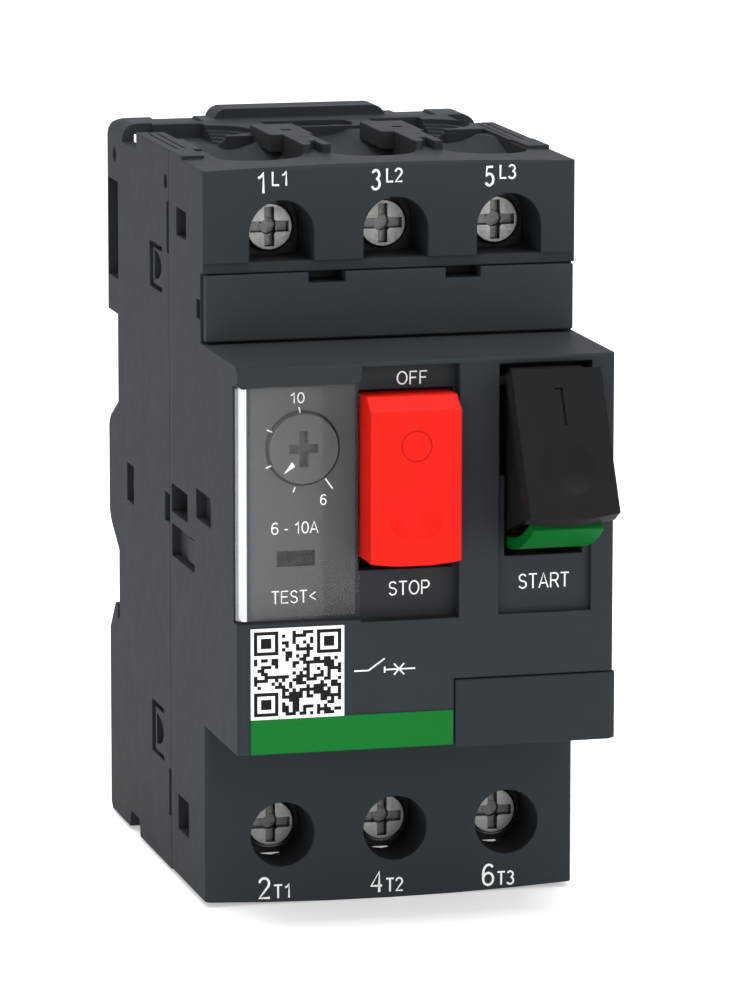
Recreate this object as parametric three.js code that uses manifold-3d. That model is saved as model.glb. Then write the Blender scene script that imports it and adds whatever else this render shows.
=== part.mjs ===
// Three-pole motor protection breaker for a 35 mm top-hat rail.
// Millimetres. X runs to the right as seen from the front, the front faces -Y, Z is up.
// The origin is on the rearmost plane, at the middle of the breaker's height.
import * as THREE from 'three';
import { mergeVertices } from 'three/addons/utils/BufferGeometryUtils.js';
import Module from 'manifold-3d';

const wasm = await Module();
wasm.setup();

// ---------- driving dimensions ----------
const WIDTH = 44.5;
const HALF = WIDTH / 2;
const HEIGHT = 86.8;
const TOP = HEIGHT / 2;
const FACE_Y = -52.7;             // front of the terminal blocks
const NOSE_Y = -69.3;             // front of the nose
const SEAM_Y = -34.3;             // joint between rear base and front housing
const SEAM_GAP = 0.15;
const NOSE_TOP = 22.8;
const NOSE_BOTTOM = -22.1;
const WALL = 1.85;

const POLE_PITCH = 13.6;
const POLE_OFFSET = 0.6;
const POLES = [-1, 0, 1].map((i) => POLE_OFFSET + i * POLE_PITCH);
const GAPS = [-0.5, 0.5].map((i) => POLE_OFFSET + i * POLE_PITCH);
const SIDES = [-1, 1];
const SCREW_Z = 35.5;
const WELL_R = 3.86;              // screwdriver well
const CHAMBER_HALF = 5.2;         // wire chamber half width
const CHAMBER_FRONT = -46.4;
const CHAMBER_FLOOR = 24.5;
const PARTITIONS = [-24.8, -15.8, -24.8];   // front of the wall behind each wire entry
const PARTITION_THICK = 0.8;
const BASE_TOP = TOP - 0.1;

const RAIL_DEPTH = 5.5;           // depth of the rail recess
const RAIL_TOP = 19.65;           // upper wall of the rail recess
const RAIL_BOTTOM = -16.7;        // lower wall of the rail recess

const COVER_FLOOR_Y = -67.3;      // floor of the setting and stop recesses
const DIAL = { x: -14.15, z: 12.9, r: 4.05 };
const DIAL_GAP = 0.3;
const START_PIVOT = { y: -67.5, z: 20.0 };
const START_TILT = THREE.MathUtils.degToRad(28.5);
const STOP_PIVOT = { y: -64.0, z: 17.5 };

const SCREW_HEAD_R = 3.0;
const SHANK_R = 1.95;
const EPS = 0.6;                  // overshoot of a cutting tool past a face

// ---------- materials ----------
const paint = (color, roughness, metalness = 0) =>
  new THREE.MeshStandardMaterial({ color, roughness, metalness });
const darkGrey = () => paint(0x3a3f43, 0.55);
const midGrey = () => paint(0x4a5054, 0.55);
const black = () => paint(0x242526, 0.5);
const steel = () => paint(0xb9bcc0, 0.3, 1);
const copper = () => paint(0xb87348, 0.35, 1);
const brass = () => paint(0xc2a15a, 0.35, 1);
const clear = () => {
  const material = paint(0xdfe6ea, 0.08);
  material.transparent = true;
  material.opacity = 0.35;
  return material;
};

// ---------- geometry helpers ----------
const box = (x0, x1, y0, y1, z0, z1) => {
  const geometry = new THREE.BoxGeometry(x1 - x0, y1 - y0, z1 - z0);
  geometry.translate((x0 + x1) / 2, (y0 + y1) / 2, (z0 + z1) / 2);
  return geometry;
};

const outline = (points) => new THREE.Shape(points.map(([a, b]) => new THREE.Vector2(a, b)));

const extrude = (shape, depth, curveSegments = 8) =>
  new THREE.ExtrudeGeometry(shape, { depth, bevelEnabled: false, curveSegments });

// Outline in (y, z), pushed along X.
const prismX = (shape, x0, x1, curveSegments) => {
  const geometry = extrude(shape, x1 - x0, curveSegments);
  geometry.applyMatrix4(new THREE.Matrix4().set(0, 0, 1, x0, 1, 0, 0, 0, 0, 1, 0, 0, 0, 0, 0, 1));
  return geometry;
};

// Outline in (x, z), pushed along Y.
const prismY = (shape, y0, y1, curveSegments) => {
  const geometry = extrude(shape, y1 - y0, curveSegments);
  geometry.rotateX(Math.PI / 2);
  geometry.translate(0, y1, 0);
  return geometry;
};

// Outline in (x, y), pushed along Z.
const prismZ = (shape, z0, z1, curveSegments) => {
  const geometry = extrude(shape, z1 - z0, curveSegments);
  geometry.translate(0, 0, z0);
  return geometry;
};

// Round bar along Y, or along X.
const rodY = (x, z, r, y0, y1, sides = 24) => {
  const geometry = new THREE.CylinderGeometry(r, r, y1 - y0, sides);
  geometry.translate(x, (y0 + y1) / 2, 0);
  geometry.applyMatrix4(new THREE.Matrix4().makeTranslation(0, 0, z));
  return geometry;
};
const rodX = (y, z, r, x0, x1, sides = 20) => {
  const geometry = new THREE.CylinderGeometry(r, r, x1 - x0, sides);
  geometry.rotateZ(-Math.PI / 2);
  geometry.translate((x0 + x1) / 2, y, z);
  return geometry;
};
const rodZ = (x, y, r, z0, z1, sides = 24) => {
  const geometry = new THREE.CylinderGeometry(r, r, z1 - z0, sides);
  geometry.rotateX(Math.PI / 2);
  geometry.translate(x, y, (z0 + z1) / 2);
  return geometry;
};

const STEPS_PER_TURN = 8;
// Round wire wound along Z from z = 0 to z = length, with its axis on the local Z axis.
const coilSpring = (radius, wire, length, turns) => {
  const points = [];
  const steps = turns * STEPS_PER_TURN;
  for (let i = 0; i <= steps; i += 1) {
    const angle = (i / STEPS_PER_TURN) * Math.PI * 2;
    const z = wire + ((length - 2 * wire) * i) / steps;
    points.push(new THREE.Vector3(radius * Math.cos(angle), radius * Math.sin(angle), z));
  }
  const section = new THREE.Shape();
  section.absarc(0, 0, wire, 0, Math.PI * 2);
  return new THREE.ExtrudeGeometry(section, {
    steps,
    curveSegments: 3,
    bevelEnabled: false,
    extrudePath: new THREE.CatmullRomCurve3(points),
  });
};

// ---------- joining and cutting ----------
const toSolid = (geometry) => {
  const bare = geometry.clone();
  bare.deleteAttribute('normal');
  bare.deleteAttribute('uv');
  const merged = mergeVertices(bare, 1e-4);
  return new wasm.Manifold(new wasm.Mesh({
    numProp: 3,
    vertProperties: new Float32Array(merged.attributes.position.array),
    triVerts: new Uint32Array(merged.index.array),
  }));
};

const toGeometry = (solid) => {
  const mesh = solid.getMesh();
  const geometry = new THREE.BufferGeometry();
  geometry.setAttribute('position', new THREE.BufferAttribute(mesh.vertProperties, 3));
  geometry.setIndex(new THREE.BufferAttribute(mesh.triVerts, 1));
  const flat = geometry.toNonIndexed();
  flat.computeVertexNormals();
  return flat;
};

const join = (...geometries) => geometries.map(toSolid).reduce((a, b) => a.add(b));

const addAll = (solid, others) => others.reduce((a, b) => a.add(b), solid);

const shape = (added, removed = []) => {
  let solid = join(...added);
  if (removed.length > 0) {
    solid = solid.subtract(join(...removed));
  }
  return toGeometry(solid);
};

const breaker = new THREE.Group();
const place = (name, geometry, material, position = [0, 0, 0], parent = breaker) => {
  const mesh = new THREE.Mesh(geometry, material);
  mesh.name = name;
  mesh.position.set(...position);
  parent.add(mesh);
  return mesh;
};

// A cut repeated on both side walls.
const bothSides = (depth, y0, y1, z0, z1) => [
  box(-HALF - EPS, -HALF + depth, y0, y1, z0, z1),
  box(HALF - depth, HALF + EPS, y0, y1, z0, z1),
];
const roundBothSides = (depth, r, y, z) => [
  rodX(y, z, r, -HALF - EPS, -HALF + depth, 16),
  rodX(y, z, r, HALF - depth, HALF + EPS, 16),
];

// Oval boss inside the slot of a side wall.
const sideBoss = (side) => {
  const oval = new THREE.Shape();
  oval.absellipse(-12.3, -0.4, 1.0, 1.5, 0, Math.PI * 2);
  const [x0, x1] = side > 0 ? [HALF - 2.2, HALF - 0.6] : [-HALF + 0.6, -HALF + 2.2];
  return prismX(oval, x0, x1, 8);
};

// ---------- rear base ----------
// Outline in (y, z): foot, latch side, rail recess with its middle rib, ears and top.
const railProfile = () => outline([
  [SEAM_Y - EPS, -TOP], [-16.9, -TOP], [-16.4, -TOP + 2.1], [-11.5, -TOP + 2.1], [-11.0, -TOP],
  [-0.8, -TOP], [0, -TOP + 0.8], [0, -20.4], [-3.2, RAIL_BOTTOM], [-4.5, RAIL_BOTTOM],
  [-4.5, RAIL_BOTTOM - 1.7], [-RAIL_DEPTH, RAIL_BOTTOM - 1.7], [-RAIL_DEPTH, -9.7],
  [-1.0, -6.9], [0, -5.6], [0, 5.2], [-0.9, 6.4], [-RAIL_DEPTH, 8.8], [-RAIL_DEPTH, RAIL_TOP],
  [0, RAIL_TOP], [0, TOP - 2.2], [-0.7, TOP - 0.6], [-2.2, TOP], [-8.6, TOP],
  [-9.2, BASE_TOP], [SEAM_Y - EPS, BASE_TOP],
]);

const EAR_X = 17.4;
const EAR_R = 1.8;
const TAB = { left: -10.3, right: 11.4, top: 44.6, y0: -6.2, y1: -1.4, r: 1.7 };

const backTab = () => {
  const tab = new THREE.Shape();
  tab.moveTo(TAB.left, TOP - 3);
  tab.lineTo(TAB.right, TOP - 3);
  tab.lineTo(TAB.right, TAB.top - TAB.r);
  tab.absarc(TAB.right - TAB.r, TAB.top - TAB.r, TAB.r, 0, Math.PI / 2);
  tab.absarc(TAB.left + TAB.r, TAB.top - TAB.r, TAB.r, Math.PI / 2, Math.PI);
  tab.closePath();
  return prismY(tab, TAB.y0, TAB.y1, 4);
};

// Solid that slopes from a partition down to the clamp, hollowed along its length.
const FUNNEL_R = 8.0;
const FUNNEL_FRONT = -36.4;
const FUNNEL_BASE = 37.7;
const FUNNEL_LOW = 38.9;          // height of the trough at the clamp
const FUNNEL_HIGH = 42.1;         // and at the partition
const funnel = (x, partition, y0, y1) => {
  const run = partition - FUNNEL_FRONT;
  const rise = FUNNEL_HIGH - FUNNEL_LOW;
  const trough = new THREE.CylinderGeometry(FUNNEL_R, FUNNEL_R, 3 * run, 32);
  trough.rotateX(Math.atan2(rise, run));
  trough.translate(x, FUNNEL_FRONT + run / 2, FUNNEL_R + (FUNNEL_LOW + FUNNEL_HIGH) / 2);
  const half = CHAMBER_HALF + 0.2;
  const block = box(x - half, x + half, y0, y1, FUNNEL_BASE, BASE_TOP - 0.4);
  return toSolid(block).subtract(toSolid(trough));
};

// Raised divider between two wire entries: a flared plate behind a forked stem.
const DIVIDER_TOP = 44.4;
const dividerPlate = (u) => join(
  box(u - 3.1, u + 2.1, -31.8, -21.2, BASE_TOP - 1.0, DIVIDER_TOP),
  box(u - 1.6, u + 1.6, SEAM_Y - EPS, -31.2, BASE_TOP - 1.0, DIVIDER_TOP),
).subtract(toSolid(box(u - 0.7, u + 0.5, -27.8, -26.6, DIVIDER_TOP - 0.9, DIVIDER_TOP + EPS)));

const dividerStem = (u) => prismZ(outline([
  [u - 1.6, SEAM_Y], [u + 1.6, SEAM_Y], [u + 1.6, -42.3], [u + 0.6, -42.3], [u + 0.6, -38.3],
  [u - 0.3, -38.3], [u - 0.3, -40.2], [u - 0.8, -41.8], [u - 1.6, -41.8],
]), BASE_TOP - 1.6, DIVIDER_TOP);

// Shallow hollow behind a partition, stepped like the seats of a theatre on its right.
const HOLLOW = { half: 5.9, back: -9.4, floor: 41.5, steps: 5 };
const steppedHollow = (x, front) => {
  const { half, back, floor, steps } = HOLLOW;
  const rise = (BASE_TOP - floor) / (steps + 1);
  const centre = (front + back) / 2;
  const cuts = [box(x - half, x + 0.5, front, back, floor, TOP + EPS)];
  for (let i = 0; i < steps; i += 1) {
    cuts.push(rodZ(x - 0.4, centre, 1.4 + i * 1.0, floor + i * rise, TOP + EPS, 16));
  }
  return join(...cuts).intersect(toSolid(box(x - half, x + half, front, back, floor, TOP + EPS)));
};

const D_OPENING = { front: -30.3, back: -26.6 };
// D-shaped opening with its round side towards the front, cut into both side walls.
const dOpenings = (z0, z1) => {
  const middle = (z0 + z1) / 2;
  const radius = (z1 - z0) / 2;
  const { front, back } = D_OPENING;
  const opening = new THREE.Shape();
  opening.moveTo(back, z0);
  opening.lineTo(back, z1);
  opening.absellipse(back, middle, back - front, radius, Math.PI / 2, Math.PI * 1.5);
  opening.closePath();
  return [
    prismX(opening, -HALF - EPS, -HALF + 2.0, 6),
    prismX(opening, HALF - 2.0, HALF + EPS, 6),
  ];
};

const baseHousing = () => {
  const added = [prismX(railProfile(), -HALF, HALF), backTab()];
  const removed = [];
  POLES.forEach((x, i) => {
    const partition = PARTITIONS[i];
    const line = [CHAMBER_FLOOR, TOP + EPS];
    const load = [-TOP - EPS, -CHAMBER_FLOOR];
    for (const [z0, z1] of [line, load]) {
      removed.push(box(x - CHAMBER_HALF, x + CHAMBER_HALF, SEAM_Y - EPS, -22.9, z0, z1));
    }
    removed.push(box(x - CHAMBER_HALF, x + CHAMBER_HALF, -23.5, partition, FUNNEL_BASE + 2, TOP + EPS));
    removed.push(box(x - 5.9, x + 5.9, SEAM_Y - EPS, -8.2, -22.0, 22.0));
    // slots that the terminal strips pass through
    removed.push(box(x - 4.3, x + 4.3, SEAM_Y - EPS, -30.5, 21.0, CHAMBER_FLOOR + EPS));
    removed.push(box(x - 4.3, x + 4.3, SEAM_Y - EPS, -30.5, -CHAMBER_FLOOR - EPS, -21.0));
  });
  for (const side of SIDES) {
    // window through each back ear, the lowered wall in front of it, and its round corner
    const edges = (a, b) => (side > 0 ? [a, b] : [-b, -a]);
    removed.push(box(...edges(EAR_X, HALF - 1.5), -9.6, EPS, 37.6, TOP - 1.3));
    removed.push(box(...edges(EAR_X + 1.2, HALF - 1.5), -17.0, -8.6, 37.6, TOP + EPS));
    removed.push(box(...edges(HALF - 1.6, HALF + EPS), -16.6, -8.6, TOP - 2.2, TOP + EPS));
    removed.push(box(...edges(19.9, 20.15), -33.0, -18.0, TOP - 1.2, TOP + EPS));
    removed.push(box(...edges(20.9, 21.15), SEAM_Y - EPS, -18.0, TOP - 0.9, TOP + EPS));
    const corner = join(box(...edges(HALF - EAR_R, HALF + EPS), -8.7, EPS, TOP - EAR_R, TOP + EPS));
    const round = toSolid(rodY(side * (HALF - EAR_R), TOP - EAR_R, EAR_R, -9, 1, 24));
    removed.push(toGeometry(corner.subtract(round)));
  }
  // the upper edge between the ears and the tab lies a little lower
  removed.push(box(-EAR_X, TAB.left - 1.6, -8.0, EPS, TOP - 0.35, TOP + EPS));
  removed.push(box(TAB.right + 1.6, EAR_X, -8.0, EPS, TOP - 0.35, TOP + EPS));
  // side wall details
  removed.push(...bothSides(1.5, -6.0, -0.45, 24.0, 36.0));
  removed.push(...bothSides(1.4, SEAM_Y - EPS, SEAM_Y + 1.1, 31.0, 37.2));
  removed.push(...bothSides(1.4, SEAM_Y - EPS, SEAM_Y + 1.1, -37.0, -31.2));
  removed.push(...bothSides(1.6, -14.3, -10.4, -2.6, 2.1));
  removed.push(...bothSides(2.4, SEAM_Y - EPS, -31.6, -1.3, 2.2));
  removed.push(...roundBothSides(1.6, 0.9, -4.1, 39.2));
  removed.push(...roundBothSides(1.6, 0.9, -32.7, 39.4));
  for (const [z0, z1, d0, d1] of [[25.8, 31.3, 27.0, 30.5], [-31.0, -24.6, -29.6, -25.9]]) {
    removed.push(...bothSides(0.9, -25.9, -23.9, z0, z1));
    removed.push(...bothSides(0.9, -30.6, -25.9, z0, z0 + 0.6));
    removed.push(...bothSides(0.9, -30.6, -25.9, z1 - 0.6, z1));
    removed.push(...dOpenings(d0, d1));
  }
  // shallow reliefs in the rail seat behind the hook and behind the latch's tooth
  removed.push(box(-15.2, 15.2, -RAIL_DEPTH - 0.25, -RAIL_DEPTH + EPS, 17.7, RAIL_TOP));
  removed.push(box(-9.3, 9.3, -RAIL_DEPTH - 0.25, -RAIL_DEPTH + EPS, RAIL_BOTTOM, -14.0));
  // channel for the rail latch, with a peg that stays for its spring
  const channel = toSolid(box(-9.3, 9.3, -4.6, EPS, -TOP - EPS, RAIL_BOTTOM + EPS));
  const hollows = POLES.map((x, i) => steppedHollow(x, PARTITIONS[i] + PARTITION_THICK));
  const cut = addAll(join(...removed).add(channel), hollows);
  const peg = toSolid(box(-1.5, 1.5, -5.2, -1.3, -38.0, -36.4));
  const hook = toSolid(box(-15, 15, -3.9, -0.7, RAIL_TOP - 1.7, RAIL_TOP + EPS));
  const bosses = SIDES.map((side) => toSolid(sideBoss(side)));
  const funnels = POLES.flatMap((x, i) => {
    const line = funnel(x, PARTITIONS[i], SEAM_Y - EPS, PARTITIONS[i] + 0.2);
    const load = funnel(x, PARTITIONS[0], SEAM_Y - EPS, PARTITIONS[0] + 2.4).mirror([0, 0, 1]);
    return [line, load];
  });
  const dividers = GAPS.map(dividerPlate);
  const body = addAll(join(...added).subtract(cut), [peg, hook, ...bosses, ...funnels, ...dividers]);
  return toGeometry(body.trimByPlane([0, 1, 0], SEAM_Y));
};

// ---------- front housing ----------
// The two finger notches along the marker strip's top edge, and the pockets behind them.
const NOTCHES = [[-9.8, -5.4], [6.6, 10.8]];
const NOTCH_BOTTOM = 29.6;
const NOTCH_DEPTH = 4.6;
const BULGE = 0.45;               // the block's top edge swells this much at the middle
const BELLY = 0.65;               // and its bottom edge this much
const BOTTOM_CORNER = -TOP + 0.2;
const blockOutline = () => {
  const block = new THREE.Shape();
  block.moveTo(-HALF, BOTTOM_CORNER);
  block.quadraticCurveTo(0, BOTTOM_CORNER - 2 * BELLY, HALF, BOTTOM_CORNER);
  block.lineTo(HALF, TOP - BULGE);
  block.quadraticCurveTo(0, TOP + BULGE, -HALF, TOP - BULGE);
  block.closePath();
  return block;
};

// Solid with its two front vertical edges rounded, and the two front horizontal ones.
const roundedFront = (solid, y0, y1, z0, z1, r) => {
  const plan = new THREE.Shape();
  plan.moveTo(HALF, y1);
  plan.lineTo(-HALF, y1);
  plan.lineTo(-HALF, y0 + r);
  plan.absarc(-HALF + r, y0 + r, r, Math.PI, Math.PI * 1.5);
  plan.absarc(HALF - r, y0 + r, r, -Math.PI / 2, 0);
  plan.closePath();
  const side = new THREE.Shape();
  side.moveTo(y1, z1);
  side.lineTo(y0 + r, z1);
  side.absarc(y0 + r, z1 - r, r, Math.PI / 2, Math.PI);
  side.absarc(y0 + r, z0 + r, r, Math.PI, Math.PI * 1.5);
  side.lineTo(y1, z0);
  side.closePath();
  const blank = toSolid(prismZ(plan, z0, z1, 3)).intersect(toSolid(prismX(side, -HALF, HALF, 3)));
  return solid.intersect(blank);
};

// U-shaped wire chamber in plan: straight towards the seam, round at the front.
const chamberPlan = (x) => {
  const plan = new THREE.Shape();
  const centre = CHAMBER_FRONT + CHAMBER_HALF;
  plan.moveTo(x + CHAMBER_HALF, SEAM_Y + EPS);
  plan.lineTo(x - CHAMBER_HALF, SEAM_Y + EPS);
  plan.lineTo(x - CHAMBER_HALF, centre);
  plan.absarc(x, centre, CHAMBER_HALF, Math.PI, Math.PI * 2);
  plan.closePath();
  return plan;
};

const archOutline = (x) => {
  const arch = new THREE.Shape();
  arch.moveTo(x + WELL_R, 32.2);
  arch.lineTo(x + WELL_R, SCREW_Z);
  arch.absarc(x, SCREW_Z, WELL_R, 0, Math.PI);
  arch.lineTo(x - WELL_R, 32.2);
  arch.closePath();
  return arch;
};

const BLOCK_R = 0.6;
const NOSE_R = 0.5;
const CAVITY_FRONT = -65.3;
const START_BOX = { x0: 8.5, x1: 19.5, z0: -7.05, z1: 22.05, floor: -68.5 };

const frontHousing = () => {
  const seam = SEAM_Y - SEAM_GAP;
  const brow = new THREE.Shape();
  brow.moveTo(-7.7, 20.45);
  brow.lineTo(-7.7, NOSE_TOP);
  brow.lineTo(-HALF + 0.9, NOSE_TOP);
  brow.quadraticCurveTo(-HALF, NOSE_TOP, -HALF, NOSE_TOP - 0.9);
  brow.lineTo(-HALF, 21.1);
  brow.quadraticCurveTo(-HALF, 20.45, -HALF + 0.7, 20.45);
  brow.closePath();
  const block = toSolid(prismY(blockOutline(), FACE_Y, SEAM_Y, 6));
  const belly = BOTTOM_CORNER - BELLY;
  const roundedBlock = roundedFront(block, FACE_Y, SEAM_Y + EPS, belly - BLOCK_R, TOP, BLOCK_R);
  const nose = toSolid(box(-HALF, HALF, NOSE_Y, FACE_Y + 2, NOSE_BOTTOM, NOSE_TOP));
  const roundedNose = roundedFront(nose, NOSE_Y, FACE_Y + 2, NOSE_BOTTOM, NOSE_TOP, NOSE_R);
  const walls = SIDES.map((side) => (side > 0 ? [HALF - 2.7, HALF] : [-HALF, -HALF + 2.7]));
  const added = [
    prismY(brow, NOSE_Y - 0.3, NOSE_Y + 1, 3),
    ...walls.map(([x0, x1]) => box(x0, x1, -41.4, SEAM_Y, TOP - 2, BASE_TOP + 0.1)),
    ...GAPS.map(dividerStem),
  ];
  const removed = [
    box(-HALF + WALL, HALF - WALL, CAVITY_FRONT, SEAM_Y + EPS, -20.8, 21.0),
    // marker strip seat, and the band below the proud terminal plate
    box(-HALF - EPS, HALF + EPS, FACE_Y - EPS, FACE_Y + 1.7, NOSE_TOP, 31.0),
    box(-HALF - EPS, HALF + EPS, FACE_Y - EPS, FACE_Y + 0.5, 30.9, 32.2),
    ...NOTCHES.map(([x0, x1]) => box(x0, x1, FACE_Y, FACE_Y + NOTCH_DEPTH, NOTCH_BOTTOM, 31.0)),
    // setting recess, stop recess and start recess
    box(-HALF - EPS, -7.7, NOSE_Y - EPS, COVER_FLOOR_Y, -6.9, 20.45),
    box(-7.8, 3.8, NOSE_Y - EPS, COVER_FLOOR_Y, -7.2, 22.25),
    box(START_BOX.x0, START_BOX.x1, NOSE_Y - EPS, START_BOX.floor, START_BOX.z0, START_BOX.z1),
    // openings for the controls
    rodY(DIAL.x, DIAL.z, DIAL.r + DIAL_GAP, COVER_FLOOR_Y - EPS, CAVITY_FRONT + EPS, 32),
    box(-17.2, -12.7, COVER_FLOOR_Y - EPS, CAVITY_FRONT + EPS, -0.76, 1.08),
    box(-7.65, 3.55, COVER_FLOOR_Y - EPS, CAVITY_FRONT + EPS, -1.6, 19.3),
    box(8.45, 19.45, START_BOX.floor - EPS, CAVITY_FRONT + EPS, 8.9, 22.0),
    box(9.35, 18.65, START_BOX.floor - EPS, CAVITY_FRONT + EPS, -0.45, 9.0),
    // seat of the auxiliary slot cap
    box(3.2, HALF + EPS, NOSE_Y - EPS, NOSE_Y + 1.0, NOSE_BOTTOM - EPS, -14.3),
    box(21.3, HALF + EPS, NOSE_Y - EPS, NOSE_Y + 7.6, NOSE_BOTTOM - EPS, -14.3),
  ];
  for (const x of POLES) {
    removed.push(prismY(archOutline(x), FACE_Y - EPS, CHAMBER_FRONT + 3, 8));
    removed.push(rodY(x, -SCREW_Z, WELL_R, FACE_Y - EPS, CHAMBER_FRONT + 3, 24));
    removed.push(prismZ(chamberPlan(x), CHAMBER_FLOOR, TOP + 2, 8));
    removed.push(prismZ(chamberPlan(x), -TOP - 2, -CHAMBER_FLOOR, 8));
    removed.push(box(x - 4.3, x + 4.3, -38.8, SEAM_Y + EPS, -CHAMBER_FLOOR - EPS, CHAMBER_FLOOR + EPS));
  }
  // side wall details, in the order top to bottom
  removed.push(...bothSides(1.2, -43.6, -38.5, 33.8, 37.1));
  removed.push(...bothSides(1.2, -50.8, -48.9, 25.5, 27.8));
  removed.push(...bothSides(1.2, -56.0, -48.4, 1.9, 5.4));
  removed.push(...bothSides(WALL + EPS, -43.8, -35.4, 0.4, 3.8));
  removed.push(...bothSides(1.0, -47.4, -35.4, -4.9, -1.0));
  removed.push(...bothSides(1.2, -43.9, -38.2, -37.5, -33.3));
  // spring tongue of the clip in each lower side window
  const tongues = join(
    box(-HALF + 0.5, -HALF + WALL, -47.4, -41.9, -4.4, -1.5),
    box(HALF - WALL, HALF - 0.5, -47.4, -41.9, -4.4, -1.5),
  );
  const funnels = POLES.flatMap((x, i) => [
    funnel(x, PARTITIONS[i], FUNNEL_FRONT, SEAM_Y),
    funnel(x, PARTITIONS[0], FUNNEL_FRONT, SEAM_Y).mirror([0, 0, 1]),
  ]);
  const blank = join(...added).add(roundedBlock).add(roundedNose);
  const body = addAll(blank.subtract(join(...removed)), [tongues, ...funnels]);
  return toGeometry(body.trimByPlane([0, -1, 0], -seam));
};

// ---------- plates and caps on the front ----------
const STRIP_THICK = 1.4;
const markerStrip = () => shape(
  [box(-22.0, 22.0, FACE_Y, FACE_Y + STRIP_THICK, 23.15, 30.85)],
  NOTCHES.map(([x0, x1]) => box(x0, x1, FACE_Y - EPS, FACE_Y + STRIP_THICK + EPS, NOTCH_BOTTOM, 31.5)),
);

const auxSlotCap = () => {
  const plan = outline([
    [3.35, NOSE_Y - 0.2], [21.7, NOSE_Y - 0.2], [HALF + 0.35, NOSE_Y + 0.5], [HALF + 0.35, NOSE_Y + 7.3],
    [21.45, NOSE_Y + 7.3], [21.45, NOSE_Y + 0.8], [3.35, NOSE_Y + 0.8],
  ]);
  return prismZ(plan, NOSE_BOTTOM - 0.25, -14.45);
};

const frontLabel = () => prismY(outline([
  [-20.75, -22.0], [3.1, -22.0], [3.1, -17.95], [-9.8, -17.95], [-9.8, -7.4], [-20.75, -7.4],
]), NOSE_Y - 0.15, NOSE_Y - 0.03);

// ---------- operating controls ----------
const COVER_PIVOT = { x: -21.3, y: -68.35, r: 0.95 };

const sealingCover = () => {
  const plate = box(COVER_PIVOT.x, -7.95, NOSE_Y, NOSE_Y + 0.95, 0, 26.7);
  const barrel = rodZ(COVER_PIVOT.x, COVER_PIVOT.y, COVER_PIVOT.r, 0, 26.7, 20);
  const lug = box(-12.0, -8.3, NOSE_Y + 0.5, NOSE_Y + 1.7, 0.5, 3.6);
  const edge = box(-8.6, -7.95, NOSE_Y + 0.5, NOSE_Y + 1.6, 0, 26.7);
  // finger grip: upright grooves in the face of the latch lug
  const grooves = [-11.4, -10.6, -9.8, -9.0].map((x) => (
    box(x, x + 0.3, NOSE_Y - EPS, NOSE_Y + 0.3, 0.7, 3.4)
  ));
  return shape([plate, barrel, lug, edge], grooves);
};

const settingDial = () => shape(
  [
    rodY(0, 0, DIAL.r, -0.7, 1.8, 32),
    rodY(0, 0, 2.2, 1.5, 8.5, 16),
  ],
  [
    box(-1.7, 1.7, -1.2, 0.7, -0.5, 0.5),
    box(-0.5, 0.5, -1.2, 0.7, -2.05, 2.05),
  ],
);

const testSlider = () => shape(
  [
    box(-1.25, 1.25, 0.2, 2.6, -0.75, 0.75),
    box(-3.2, 3.2, 2.3, 3.9, -2.2, 2.2),
  ],
  [rodY(0, 1.6, 1.3, -0.5, 1.0, 16)],
);

// Cross-section in (y, z) about the pivot; the crown along X comes from a large round cut.
const stopButton = () => {
  const side = outline([
    [-8.2, -17.9], [-8.2, -0.1], [-6.1, 1.4], [0.9, 1.4], [1.4, 0.9], [1.4, -3.0], [-1.0, -5.0],
    [-1.0, -17.9],
  ]);
  const dish = new THREE.SphereGeometry(6.4, 32, 24);
  dish.translate(0.0, -8.2 - 5.5, -12.1);
  const belly = new THREE.Shape();
  belly.moveTo(-6.0, -19);
  belly.lineTo(-6.0, -17.4);
  belly.quadraticCurveTo(0, -18.5, 6.0, -17.4);
  belly.lineTo(6.0, -19);
  belly.closePath();
  return shape(
    [prismX(side, -5.35, 5.35)],
    [dish, prismY(belly, -9, 1, 6), rodX(0, 0, 0.85, -6, 6, 16)],
  );
};

const startButton = () => {
  const flange = outline([
    [-3.1, -0.6], [-5.7, -1.0], [-5.7, -18.7], [-5.1, -19.4], [-3.1, -19.6],
  ]);
  const core = outline([
    [-4.0, -0.8], [-4.0, -17.4], [-3.0, -17.6], [8.0, -15.6], [8.0, -3.0], [1.6, 0.9], [-1.6, 0.9],
  ]);
  const dish = new THREE.SphereGeometry(6.4, 32, 24);
  dish.translate(0, -5.7 - 5.5, -13.0);
  const belly = new THREE.Shape();
  belly.moveTo(-6.0, -20.5);
  belly.lineTo(-6.0, -18.4);
  belly.quadraticCurveTo(0, -19.8, 6.0, -18.4);
  belly.lineTo(6.0, -20.5);
  belly.closePath();
  // engraved stroke that stands for "on", with a short flag at its upper end
  const stroke = box(0.33, 0.57, -6.5, -5.4, -7.8, -3.3);
  const flag = box(-0.3, 0.4, -6.5, -5.4, -3.54, -3.3);
  return shape(
    [prismX(flange, -5.15, 5.45), prismX(core, -4.25, 4.25)],
    [dish, stroke, flag, prismY(belly, -9, -2.4, 6), rodX(0, 0, 0.85, -6, 6, 16)],
  );
};

// Curved skirt about the start button's pivot.
const startIndicator = () => {
  const skirt = new THREE.Shape();
  const from = THREE.MathUtils.degToRad(-90 - 8);
  const to = THREE.MathUtils.degToRad(-90 + 31);
  skirt.absarc(0, 0, 19.55, from, to);
  skirt.absarc(0, 0, 18.2, to, from, true);
  skirt.closePath();
  return prismX(skirt, -4.2, 4.2, 14);
};

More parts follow.
